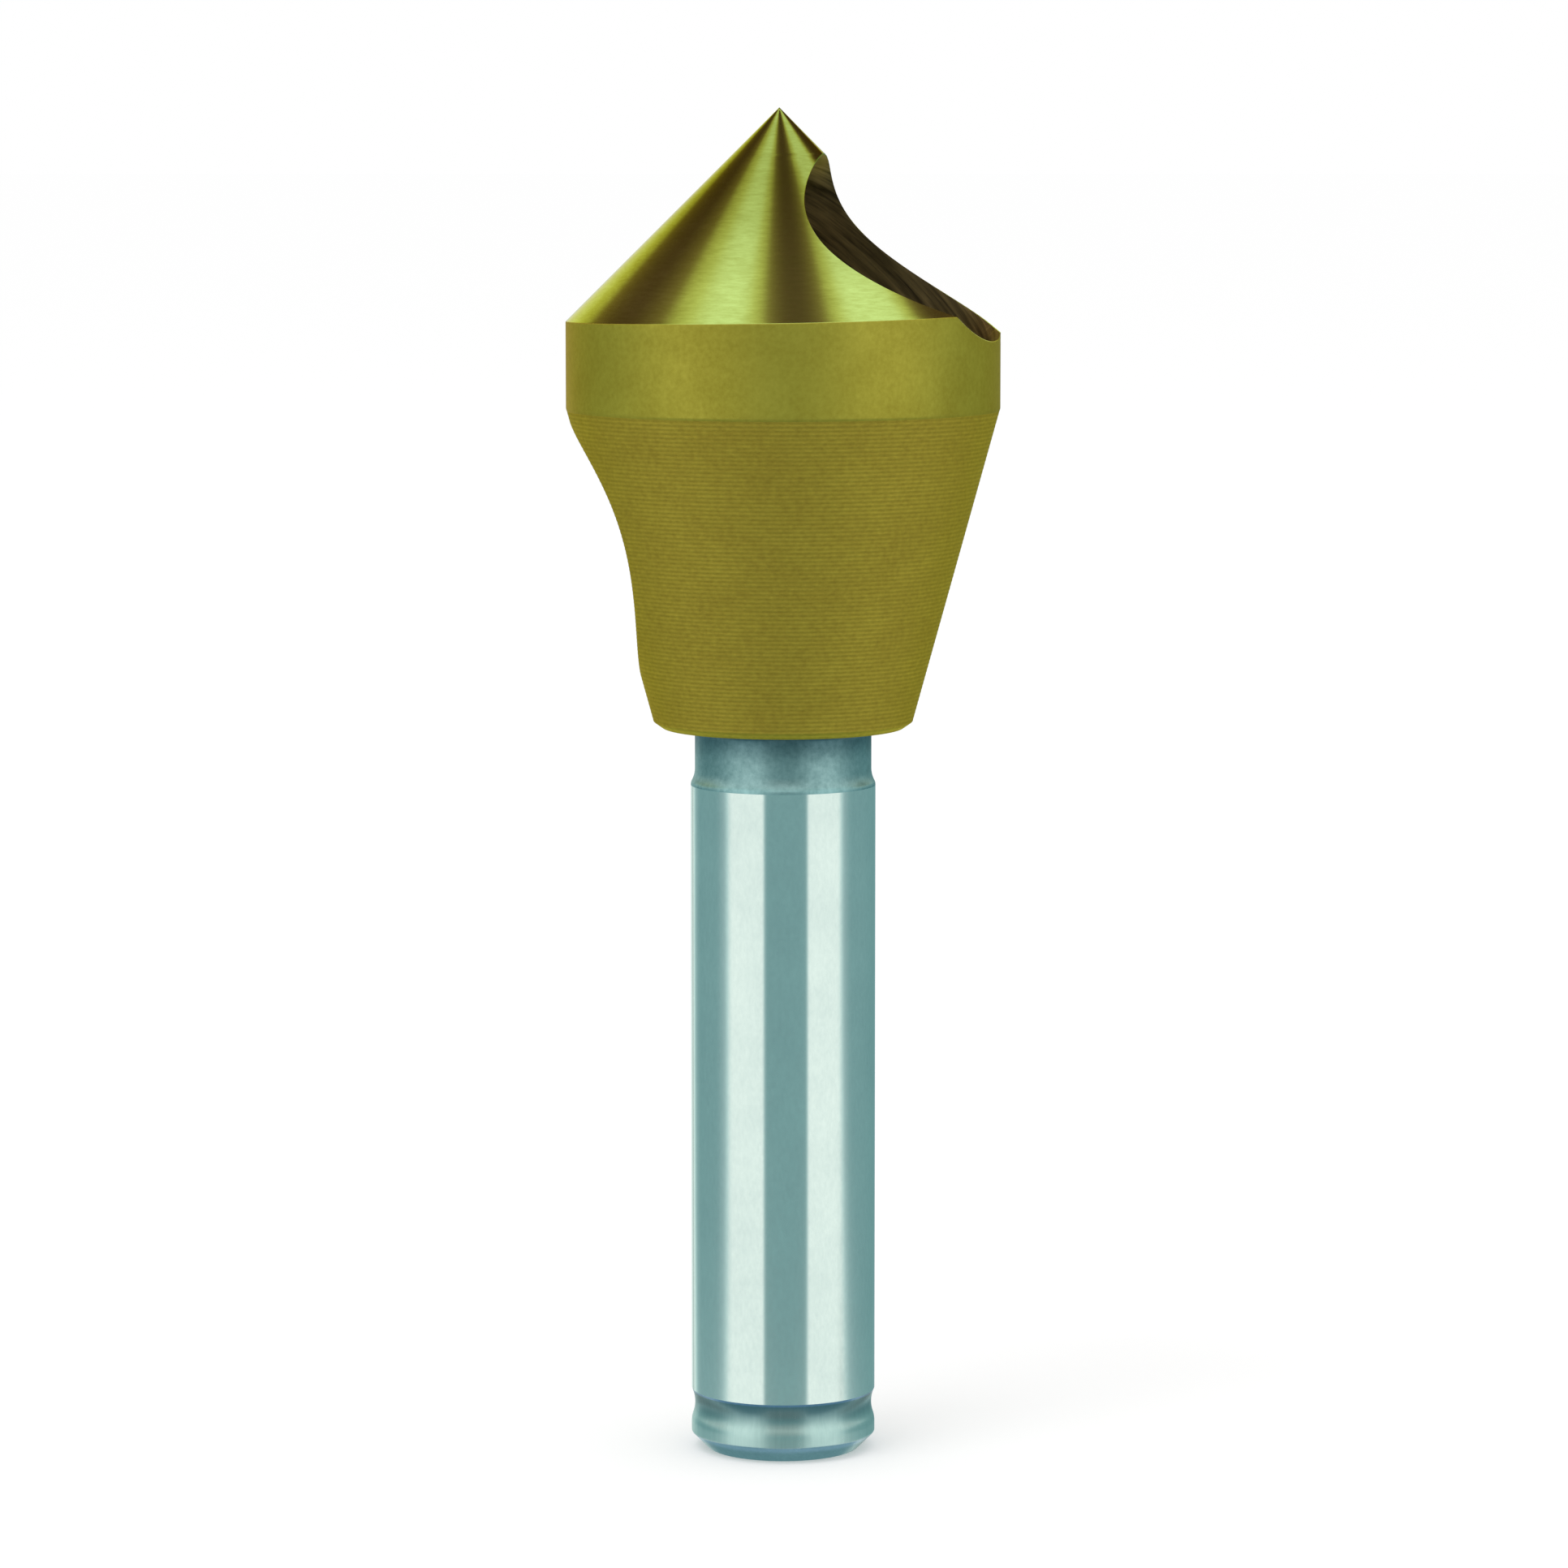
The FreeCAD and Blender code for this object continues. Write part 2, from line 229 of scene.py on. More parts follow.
@dataclass(frozen=True)
class TurnedBar:
    """Everything that is turned: the band's lower part, back taper, neck, shank, ring groove and end."""

    band_radius: float = 14.0
    band_split: float = 69.15
    band_foot: float = 68.15
    taper_foot_radius: float = 8.41
    taper_foot: float = 47.87
    bevel_radius: float = 7.81
    underside: float = 47.45
    neck_radius: float = 5.73
    neck_root: float = 0.5
    hollow_height: float = 44.804
    hollow_radius: float = 1.75
    hollow_end: float = 212.0
    shank_radius: float = 6.0
    shank_top: float = 43.87
    groove_height: float = 2.95
    groove_depth: float = 0.22
    groove_radius: float = 2.3
    chamfer: float = 1.05
    edge_cut: float = 0.06
    rim_cut: float = 0.16
    lip_cut: float = 0.32
    ring_pitch: float = 0.268
    ring_depth: float = 0.012
    ring_count: int = 75
    ring_points: int = 4

    def tool_rings(self) -> np.ndarray:
        """Gives the back taper with its tool rings.

        The radius is the taper's straight line less depth (1 - (2f-1)^2), where f is the place inside a
        ring: the round nose of the tool leaves shallow valleys with crests between them.

        Returns:
            Radius and height of each point, from the band down.
        """
        place = np.arange(self.ring_points * self.ring_count + 1) / self.ring_points
        height = self.band_foot - 0.5 * self.ring_pitch - self.ring_pitch * place
        share = (self.band_foot - height) / (self.band_foot - self.taper_foot)
        line = self.band_radius + (self.taper_foot_radius - self.band_radius) * share
        valley = 1.0 - (2.0 * np.mod(place, 1.0) - 1.0) ** 2
        keep = height > self.taper_foot + self.edge_cut
        return np.stack([line - self.ring_depth * valley, height], axis=-1)[keep]

    def outline(self) -> tuple[np.ndarray, np.ndarray]:
        """Gives the half section below the band's split, from there down to the middle of the end face.

        Returns:
            Radius and height of each mesh row, and the area of the bit that starts at each row.
        """
        cut, middle = self.edge_cut, (0.0, 0.0)
        split = (self.band_radius, self.band_split)
        foot = (self.band_radius, self.band_foot)
        taper = (self.taper_foot_radius, self.taper_foot)
        bevel = (self.bevel_radius, self.underside)
        root = (self.neck_radius, self.underside)
        root_end = (self.neck_radius, self.underside - self.neck_root)
        neck = (self.neck_radius, self.hollow_height)
        hollow = (self.neck_radius + self.hollow_radius, self.hollow_height)
        knee = math.degrees(self.rim_cut / self.hollow_radius)
        flare = arc(hollow, self.hollow_radius, 180.0, self.hollow_end - knee, steps=10)
        rim = (self.shank_radius, self.shank_top)
        shank = (self.shank_radius, self.shank_top - self.rim_cut)
        groove = (self.shank_radius - self.groove_depth + self.groove_radius, self.groove_height)
        reach = math.degrees(math.acos((groove[0] - self.shank_radius) / self.groove_radius))
        half = self.groove_radius * math.sin(math.radians(reach))
        lip = math.degrees(self.lip_cut / self.groove_radius)
        trough = arc(groove, self.groove_radius, 180.0 - reach, 180.0 + reach - lip, steps=14)
        high, low = (self.shank_radius, groove[1] + half), (self.shank_radius, groove[1] - half)
        lip_end = (self.shank_radius, low[1] - self.lip_cut)
        collar = (self.shank_radius, self.chamfer)
        end = (self.shank_radius - self.chamfer, 0.0)
        pieces = [
            (Area.BAND, np.array([split])),
            (Area.BAND, run(split, foot, rows=2)),
            (Area.BAND, softened(split, foot, taper, cut)),
            (Area.TAPER, self.tool_rings()),
            (Area.TAPER, softened(foot, taper, bevel, cut)),
            (Area.TAPER, run(taper, bevel, rows=2)),
            (Area.TAPER, softened(taper, bevel, root, cut)),
            (Area.NECK, run(bevel, root, rows=6)[:-1]),
            (Area.NECK, softened(bevel, root, neck, self.neck_root, steps=8)),
            (Area.NECK, run(root_end, neck, rows=8)),
            (Area.NECK, flare[:-1]),
            (Area.NECK, softened(flare[-1], rim, low, self.rim_cut, steps=6)[:-1]),
            (Area.SHANK, np.array([shank])),
            (Area.SHANK, run(shank, high, rows=40)),
            (Area.END, trough[:-1]),
            (Area.END, softened(trough[-1], low, collar, self.lip_cut, steps=6)),
            (Area.END, run(lip_end, collar, rows=3)),
            (Area.END, softened(low, collar, end, cut)),
            (Area.END, run(collar, end, rows=3)),
            (Area.END, softened(collar, end, middle, cut)),
            (Area.END, run(end, middle, rows=4)),
        ]
        areas = np.concatenate([np.full(len(points), area) for area, points in pieces])
        return np.concatenate([points for _, points in pieces]), areas


@dataclass
class MeshParts:
    """Vertices and faces gathered from several surfaces."""

    vertices: list[np.ndarray] = field(default_factory=list)
    faces: list[tuple[np.ndarray, np.ndarray]] = field(default_factory=list)
    count: int = 0

    def add_points(self, points: np.ndarray) -> np.ndarray:
        """Adds points to those gathered so far.

        Args:
            points: Any array of points, three numbers each.

        Returns:
            The points' numbers, in the shape of the given array without its last axis.
        """
        flat = points.reshape(-1, 3)
        numbers = np.arange(self.count, self.count + len(flat)).reshape(points.shape[:-1])
        self.vertices.append(flat)
        self.count += len(flat)
        return numbers

    def add_faces(self, corners: np.ndarray, areas: np.ndarray | int) -> None:
        """Adds faces of three or four corners each, with one area for all or an array of them."""
        self.faces.append((corners, np.broadcast_to(areas, len(corners))))

    def make(self, name: str) -> bpy.types.Mesh:
        """Writes the gathered surfaces as one mesh in metres, without the points that no face uses.

        Args:
            name: The mesh's name.

        Returns:
            The mesh, with each face's area as its material slot.
        """
        points = np.concatenate(self.vertices)
        used = np.unique(np.concatenate([corners.ravel() for corners, _ in self.faces]))
        renumber = np.zeros(len(points), int)
        renumber[used] = np.arange(len(used))
        mesh = bpy.data.meshes.new(name)
        faces = [face for corners, _ in self.faces for face in renumber[corners].tolist()]
        mesh.from_pydata((points[used] * MILLIMETRE).tolist(), [], faces)
        slots = np.concatenate([areas for _, areas in self.faces]).astype(np.int32)
        mesh.polygons.foreach_set("material_index", slots)
        return mesh


@dataclass
class CountersinkBit:
    """The whole bit: its sizes and its mesh.

    Rows are counted in places along the skin. From 0 to FOOT_PLACE a place is the share of the way from the
    tip to the foot line, from there to SPLIT_PLACE the share of the way down the band, and beyond that it is
    millimetres along the turned outline.
    """

    point: GroundPoint = field(default_factory=GroundPoint)
    bar: TurnedBar = field(default_factory=TurnedBar)
    hole: CrossHole = field(default_factory=CrossHole)
    foot_cut: float = 0.05
    columns: int = 80
    flank_rows: int = 64
    band_rows: int = 14
    corner_rows: int = 5
    mouth_end_rows: int = 6
    least_gap: float = 0.02
    wall_columns: int = 256
    wall_rows: int = 30
    sharp_angle: float = 22.0
    search_reach: float = 60.0
    rim_reach: float = 110.0
    row_steps: int = 40
    end_steps: int = 45
    flank_tries: int = 60
    band_tries: int = 30
    turned_tries: int = 300
    end_margin: float = 1e-9
    rim_points: int = 500

    def __post_init__(self) -> None:
        """Works out the outline once, with its places along the skin and the lengths of flank and band."""
        self.outline, self.outline_areas = self.bar.outline()
        steps = np.hypot(*np.diff(self.outline, axis=0).T)
        self.outline_places = SPLIT_PLACE + np.concatenate([[0.0], np.cumsum(steps)])
        rise = self.point.tip_height - self.point.edge_height
        self.flank_length = float(np.hypot(self.point.radius, rise))
        self.band_length = self.point.edge_height - self.bar.band_split

    def foot_shares(self) -> Pair:
        """The reach of the broken foot line, as a share of the flank's length and of the band's."""
        return self.foot_cut / self.flank_length, self.foot_cut / self.band_length

    def skin(self, place: np.ndarray, azimuth: np.ndarray) -> np.ndarray:
        """Gives points of the outer skin.

        The flank is tip + s (foot - tip), the band foot + t (split - foot), and the rest the outline turned
        about the axis. Around the foot line the corner is softened by the curve of the outline's corners.

        Args:
            place: Places along the skin.
            azimuth: Azimuths in degrees, in a shape that goes with the places.

        Returns:
            The points.
        """
        place, azimuth = np.broadcast_arrays(np.asarray(place, float), np.asarray(azimuth, float))
        turn = np.radians(azimuth)
        round_way = np.stack([np.cos(turn), np.sin(turn), np.zeros_like(turn)], axis=-1)
        foot = self.point.foot(azimuth)
        split = foot.copy()
        split[..., 2] = self.bar.band_split
        above, below = self.foot_shares()
        start, end = FOOT_PLACE - above, FOOT_PLACE + below
        share = place[..., None]
        flank = self.point.tip + np.minimum(share, start) * (foot - self.point.tip)
        band = foot + (np.maximum(share, end) - FOOT_PLACE) * (split - foot)
        u = np.clip((share - start) / (end - start), 0.0, 1.0)
        head = (1 - u) ** 2 * flank + 2 * u * (1 - u) * foot + u**2 * band
        radius = np.interp(place, self.outline_places, self.outline[:, 0])
        turned = radius[..., None] * round_way
        turned[..., 2] = np.interp(place, self.outline_places, self.outline[:, 1])
        return np.where(share <= SPLIT_PLACE, head, turned)

    def clearance(self, place: np.ndarray, azimuth: np.ndarray, radius: float) -> np.ndarray:
        """How far the skin lies outside a cylinder of that radius about the hole's axis."""
        return self.hole.locate(self.skin(place, azimuth))[2] - radius

    def nearest(self, place: np.ndarray, mouth: Mouth, radius: float) -> tuple[np.ndarray, np.ndarray]:
        """Finds, on each row, where the skin is nearest the hole's axis, by ternary search.

        Args:
            place: Places of the rows.
            mouth: Which of the two openings is meant.
            radius: Radius that the distance is counted from.

        Returns:
            The azimuth of the nearest point of each row, and its clearance.
        """
        middle = self.hole.azimuth + mouth.value
        low = np.full_like(place, middle - self.search_reach)
        high = np.full_like(place, middle + self.search_reach)
        for _ in range(self.row_steps):
            first, second = low + (high - low) / 3.0, high - (high - low) / 3.0
            nearer = self.clearance(place, first, radius) < self.clearance(place, second, radius)
            low, high = np.where(nearer, low, first), np.where(nearer, second, high)
        best = (low + high) / 2.0
        return best, self.clearance(place, best, radius)

    def crossing(self, place: np.ndarray, inside: np.ndarray, side: float, radius: float) -> np.ndarray:
        """Finds where each row leaves the hole, by halving the way out of it.

        Args:
            place: Places of the rows.
            inside: An azimuth inside the hole for each row.
            side: How far away the search ends, in degrees, with its sign.
            radius: Radius of the hole that is meant.

        Returns:
            The azimuth of the crossing on each row.
        """
        within, beyond = inside.copy(), inside + side
        for _ in range(self.row_steps):
            middle = (within + beyond) / 2.0
            cut = self.clearance(place, middle, radius) < 0.0
            within, beyond = np.where(cut, middle, within), np.where(cut, beyond, middle)
        return (within + beyond) / 2.0

    def mouth_ends(self, mouth: Mouth, radius: float) -> Pair:
        """Finds the stretch of skin that the hole opens at one mouth, by tries and then by halving.

        Args:
            mouth: Which of the two openings is meant.
            radius: Radius of the hole that is meant.

        Returns:
            The first and the last place along the skin that the hole touches.
        """
        flank = np.linspace(0.0, FOOT_PLACE, self.flank_tries)
        band = np.linspace(FOOT_PLACE, SPLIT_PLACE, self.band_tries)[1:-1]
        below = np.linspace(SPLIT_PLACE, self.outline_places[-1], self.turned_tries)
        tries = np.concatenate([flank, band, below])
        touched = np.flatnonzero(self.nearest(tries, mouth, radius)[1] < 0.0)
        ends = []
        for within, beyond in ((touched[0], touched[0] - 1), (touched[-1], touched[-1] + 1)):
            low, high = np.array([tries[within]]), np.array([tries[beyond]])
            for _ in range(self.end_steps):
                middle = (low + high) / 2.0
                cut = self.nearest(middle, mouth, radius)[1] < 0.0
                low, high = np.where(cut, middle, low), np.where(cut, high, middle)
            ends.append(float(high[0]))
        return ends[0], ends[1]

    def rows(self, ends: list[Pair]) -> np.ndarray:
        """Gives the places of the mesh rows.

        Rows are added inside each end of a mouth at the base spacing times (k/n)^2, because the rim there
        spreads with the root of the distance. Base rows that would crowd an added one are left out.

        Args:
            ends: First and last place of each mouth.

        Returns:
            All places in rising order, without the tip.
        """
        above, below = self.foot_shares()
        start, end = FOOT_PLACE - above, FOOT_PLACE + below
        flank = np.linspace(0.0, start - above, self.flank_rows)[1:]
        corner = np.linspace(start, end, self.corner_rows)
        band = np.linspace(end + below, SPLIT_PLACE, self.band_rows)[:-1]
        base = np.concatenate([flank, corner, band, self.outline_places[:-1]])
        share = (np.arange(self.mouth_end_rows) / self.mouth_end_rows) ** 2
        added = []
        for first, last in ends:
            for place, way in ((first, 1.0), (last, -1.0)):
                step = np.diff(base)[max(np.searchsorted(base, place) - 1, 0)]
                added.append(place + way * step * share)
        extra = np.concatenate(added)
        lengths = np.where(base < SPLIT_PLACE, self.band_length, 1.0)
        lengths = np.where(base < FOOT_PLACE, self.flank_length, lengths)
        gap = np.abs(base[:, None] - extra[None, :]).min(axis=1) * lengths
        return np.unique(np.concatenate([base[gap > self.least_gap], extra]))

    def rim_azimuths(self, places: np.ndarray, mouth: Mouth,
                     ends: Pair) -> tuple[np.ndarray, np.ndarray, np.ndarray]:
        """Gives the azimuths between which each row is cut away at one mouth.

        Args:
            places: Places of the rows.
            mouth: Which of the two openings is meant.
            ends: The mouth's first and last place.

        Returns:
            The lower and the higher azimuth of each row, alike on a whole row, and which rows are cut.
        """
        radius = self.hole.mouth_radius
        open_rows = (places > ends[0] + self.end_margin) & (places < ends[1] - self.end_margin)
        seam = self.nearest(np.clip(places, *ends), mouth, radius)[0]
        low, high = seam.copy(), seam.copy()
        inside = self.nearest(places[open_rows], mouth, radius)[0]
        low[open_rows] = self.crossing(places[open_rows], inside, -self.rim_reach, radius)
        high[open_rows] = self.crossing(places[open_rows], inside, self.rim_reach, radius)
        return low, high, open_rows

    def add_skin(self, parts: MeshParts) -> tuple[np.ndarray, np.ndarray]:
        """Adds the outer skin in two patches, one from the upper mouth round to the lower, and one on round.

        The columns stand closer near the rims, at the share u - sin(2 pi u) / (4 pi) of the way between them.

        Args:
            parts: The surfaces gathered so far.

        Returns:
            The point numbers round the upper and the lower rim.
        """
        ends = [self.mouth_ends(mouth, self.hole.mouth_radius) for mouth in Mouth]
        places = self.rows(ends)
        up_low, up_high, up_open = self.rim_azimuths(places, Mouth.UPPER, ends[0])
        down_low, down_high, down_open = self.rim_azimuths(places, Mouth.LOWER, ends[1])
        u = np.linspace(0.0, 1.0, self.columns + 1)
        share = u - np.sin(2.0 * np.pi * u) / (4.0 * np.pi)
        far = up_high[:, None] + (down_low - up_high)[:, None] * share
        near = down_high[:, None] + (up_low + 360.0 - down_high)[:, None] * share
        far_points = parts.add_points(self.skin(places[:, None], far))
        near_points = parts.add_points(self.skin(places[:, None], near))
        near_points[~down_open, 0] = far_points[~down_open, -1]
        near_points[~up_open, -1] = far_points[~up_open, 0]
        tip, middle = parts.add_points(np.array([self.point.tip, [0.0, 0.0, 0.0]]))
        area = self.area_of((places[:-1] + places[1:]) / 2.0)
        for grid in (far_points, near_points):
            quads = np.stack([grid[:-1, :-1], grid[1:, :-1], grid[1:, 1:], grid[:-1, 1:]], axis=-1)
            parts.add_faces(quads.reshape(-1, 4), np.repeat(area, self.columns))
            tips = np.full(self.columns, tip)
            parts.add_faces(np.stack([tips, grid[0, :-1], grid[0, 1:]], axis=-1), Area.FLANK)
            middles = np.full(self.columns, middle)
            parts.add_faces(np.stack([grid[-1, :-1], middles, grid[-1, 1:]], axis=-1), Area.END)
        rims = []
        for opened, one, other in ((up_open, far_points[:, 0], near_points[:, -1]),
                                   (down_open, far_points[:, -1], near_points[:, 0])):
            first, last = np.flatnonzero(opened)[[0, -1]]
            side = one[first - 1:last + 2]
            rims.append(np.concatenate([side, other[first:last + 1][::-1]]))
        return rims[0], rims[1]

    def area_of(self, places: np.ndarray) -> np.ndarray:
        """Gives the area of the bit at each place along the skin.

        Args:
            places: Places along the skin.

        Returns:
            One area for each place.
        """
        row = np.clip(np.searchsorted(self.outline_places, places) - 1, 0, len(self.outline_areas) - 1)
        head = np.where(places < FOOT_PLACE, Area.FLANK, Area.BAND)
        return np.where(places < SPLIT_PLACE, head, self.outline_areas[row])

    def true_edge(self, mouth: Mouth, angle: np.ndarray) -> np.ndarray:
        """Gives the place along the hole where its wall meets the skin.

        Args:
            mouth: Which of the two openings is meant.
            angle: Angles about the hole's axis, in radians.

        Returns:
            The place along the axis for each angle, read between closely spaced points of the meeting line.
        """
        first, last = self.mouth_ends(mouth, self.hole.radius)
        share = 0.5 - 0.5 * np.cos(np.linspace(0.0, np.pi, self.rim_points))
        places = first + (last - first) * share[1:-1]
        inside = self.nearest(places, mouth, self.hole.radius)[0]
        reaches = (-self.rim_reach, self.rim_reach)
        sides = [self.crossing(places, inside, reach, self.hole.radius) for reach in reaches]
        points = np.concatenate([self.skin(places, azimuth) for azimuth in sides])
        turn, along, _ = self.hole.locate(points)
        order = np.argsort(turn)
        return np.interp(angle, turn[order], along[order], period=2.0 * np.pi)

    def add_hole(self, parts: MeshParts, upper: np.ndarray, lower: np.ndarray) -> None:
        """Adds the hole's wall and the broken edges that join it to the skin.

        The wall's rows share out the way between the two mouths at each angle about the hole's axis.

        Args:
            parts: The surfaces gathered so far.
            upper: Point numbers round the upper rim.
            lower: Point numbers round the lower rim.
        """
        angle = np.linspace(-np.pi, np.pi, self.wall_columns, endpoint=False)
        top = self.true_edge(Mouth.UPPER, angle) - self.hole.edge_break
        bottom = self.true_edge(Mouth.LOWER, angle) + self.hole.edge_break
        share = np.linspace(0.0, 1.0, self.wall_rows)[:, None]
        along = top * (1.0 - share) + bottom * share
        grid = parts.add_points(self.hole.wall(np.broadcast_to(angle, along.shape), along))
        right = np.roll(grid, -1, axis=1)
        quads = np.stack([grid[:-1], right[:-1], right[1:], grid[1:]], axis=-1)
        parts.add_faces(quads.reshape(-1, 4), Area.HOLE)
        self.add_broken_edge(parts, upper, grid[0], angle, Area.FLANK)
        self.add_broken_edge(parts, lower, grid[-1], angle, Area.TAPER)

    def add_broken_edge(self, parts: MeshParts, rim: np.ndarray, wall: np.ndarray, angle: np.ndarray,
                        area: Area) -> None:
        """Joins a rim to the wall's end row with triangles, by stepping round both in the order of angles.

        Each step along one loop makes a triangle with the last point passed on the other.

        Args:
            parts: The surfaces gathered so far.
            rim: Point numbers round the rim, in any order.
            wall: Point numbers of the wall's end row, in the order of `angle`.
            angle: Angles of the wall's columns.
            area: The area that the broken edge belongs to.
        """
        points = np.concatenate(parts.vertices)
        turn = self.hole.locate(points[rim])[0]
        order = np.argsort(turn)
        rim, turn = rim[order], turn[order]
        next_rim, next_wall = np.roll(rim, -1), np.roll(wall, -1)
        passed = wall[np.searchsorted(angle, np.roll(turn, -1), side="right") - 1]
        by_rim = np.stack([rim, next_rim, passed], axis=-1)
        passed = rim[np.searchsorted(turn, np.roll(angle, -1), side="left") - 1]
        by_wall = np.stack([next_wall, wall, passed], axis=-1)
        faces = np.concatenate([by_rim, by_wall])
        if area is Area.TAPER:
            faces = faces[:, ::-1]
        parts.add_faces(faces, area)

    def build(self) -> bpy.types.Object:
        """Builds the bit as one closed piece that stands for the CAD's one node.

        Returns:
            The bit's object, without its materials.
        """
        parts = MeshParts()
        self.add_hole(parts, *self.add_skin(parts))
        mesh = parts.make("coated_bit")
        mesh.polygons.foreach_set("use_smooth", np.ones(len(mesh.polygons), bool))
        mesh.set_sharp_from_angle(angle=math.radians(self.sharp_angle))
        mesh.update()
        piece = bpy.data.objects.new("coated_bit", mesh)
        bpy.context.scene.collection.objects.link(piece)
        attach(piece, "root")
        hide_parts("countersink_bit")
        return piece


class NodeSketch:
    """Short calls for wiring the nodes of one material or of the world."""

    MIX_SHARE = 0
    MIX_NUMBERS = (2, 3)
    MIX_COLOURS = (6, 7)
    MIXED_NUMBER = 0
    MIXED_COLOUR = 2

    def __init__(self, owner: bpy.types.Material | bpy.types.World) -> None:
        """Turns the owner's nodes on.

        Args:
            owner: The material or the world.
        """
        owner.use_nodes = True
        self.tree = owner.node_tree

    def fill(self, node: bpy.types.Node, inputs: Inputs) -> None:
        """Fills inputs of a node.

        Args:
            node: The node.
            inputs: For each input, by name or number, the output that is linked to it or its plain value.
        """
        for place, value in inputs.items():
            socket = node.inputs[place]
            if isinstance(value, Socket):
                self.tree.links.new(value, socket)
            else:
                socket.default_value = (*value, 1.0) if socket.type == "RGBA" else value

    def add(self, kind: str, inputs: Inputs | None = None, **options: str | bool) -> bpy.types.Node:
        """Adds a node.

        Args:
            kind: The node's type, without the leading "ShaderNode".
            inputs: The inputs to fill, as for `fill`.
            options: The node's own options, which are set before its inputs.

        Returns:
            The node.
        """
        node = self.tree.nodes.new(f"ShaderNode{kind}")
        for option, value in options.items():
            setattr(node, option, value)
        self.fill(node, inputs or {})
        return node

    def maths(self, operation: str, one: Socket, other: Socket | float) -> Socket:
        """Works out a new value from two, by the operation that is named."""
        return self.add("Math", {0: one, 1: other}, operation=operation).outputs[0]

    def remap(self, value: Socket, source: Pair, target: Pair = (0.0, 1.0), smooth: bool = False,
              clamp: bool = True) -> Socket:
        """Carries a value over from one range to another.

        Args:
            value: The value.
            source: The two ends of the range that it is read in.
            target: What it becomes at those ends.
            smooth: Whether it runs between them by 3s^2 - 2s^3, and not evenly.
            clamp: Whether it stays at the end's value beyond each end.

        Returns:
            The new value.
        """
        ends = {"From Min": source[0], "From Max": source[1], "To Min": target[0], "To Max": target[1]}
        way = "SMOOTHSTEP" if smooth else "LINEAR"
        node = self.add("MapRange", {"Value": value, **ends}, interpolation_type=way, clamp=clamp)
        return node.outputs["Result"]

    def noise(self, spot: Socket, scale: Triple, turn: Triple, detail: float, roughness: float) -> Socket:
        """Adds a noise that is stretched and turned.

        Args:
            spot: The coordinates that it is laid on.
            scale: Features per metre along the three turned directions.
            turn: Rotation of the pattern, in radians.
            detail: Number of finer layers.
            roughness: Weight of each finer layer.

        Returns:
            The noise's value.
        """
        sizes = tuple(1.0 / value for value in scale)
        laid = {"Vector": spot, "Rotation": turn, "Scale": sizes}
        mapped = self.add("Mapping", laid, vector_type="TEXTURE").outputs["Vector"]
        layers = {"Vector": mapped, "Scale": 1.0, "Detail": detail, "Roughness": roughness}
        return self.add("TexNoise", layers).outputs["Fac"]

    def average(self, one: Socket, other: Socket, weight: float) -> Socket:
        """Gives the weighted mean of two values, one (1 - weight) + other weight.

        Args:
            one: The first value.
            other: The second value.
            weight: The second value's weight.

        Returns:
            The mean.
        """
        inputs = {self.MIX_SHARE: weight, self.MIX_NUMBERS[0]: one, self.MIX_NUMBERS[1]: other}
        return self.add("Mix", inputs, data_type="FLOAT").outputs[self.MIXED_NUMBER]

    def blend(self, share: Socket, one: Socket | Triple, other: Triple, multiply: bool = False) -> Socket:
        """Mixes two colours, or multiplies the first by the second.

        Args:
            share: 0 where the first colour stays, 1 where the second counts in full.
            one: The first colour.
            other: The second colour.
            multiply: Whether the colours are multiplied.

        Returns:
            The new colour.
        """
        inputs = {self.MIX_SHARE: share, self.MIX_COLOURS[0]: one, self.MIX_COLOURS[1]: other}
        way = "MULTIPLY" if multiply else "MIX"
        return self.add("Mix", inputs, data_type="RGBA", blend_type=way).outputs[self.MIXED_COLOUR]


@dataclass(frozen=True)
class Climb:
    """A tone that a colour is multiplied by: not at all at the height `start`, and in full at `end`."""

    start: float
    end: float
    tone: Triple


@dataclass(frozen=True)
class RingValleyShade:
    """Painted shade in the valleys of the tool rings, which comes and goes with the clouds.

    The rings are a saw wave of the height, folded at every crest. Crest is the height of one of them and
    pitch the distance between two. The last pair is the least and the most of that painted shade that counts.
    """

    crest: float
    pitch: float
    tone: Triple
    valley_shade_range: Pair = (0.6, 1.4)


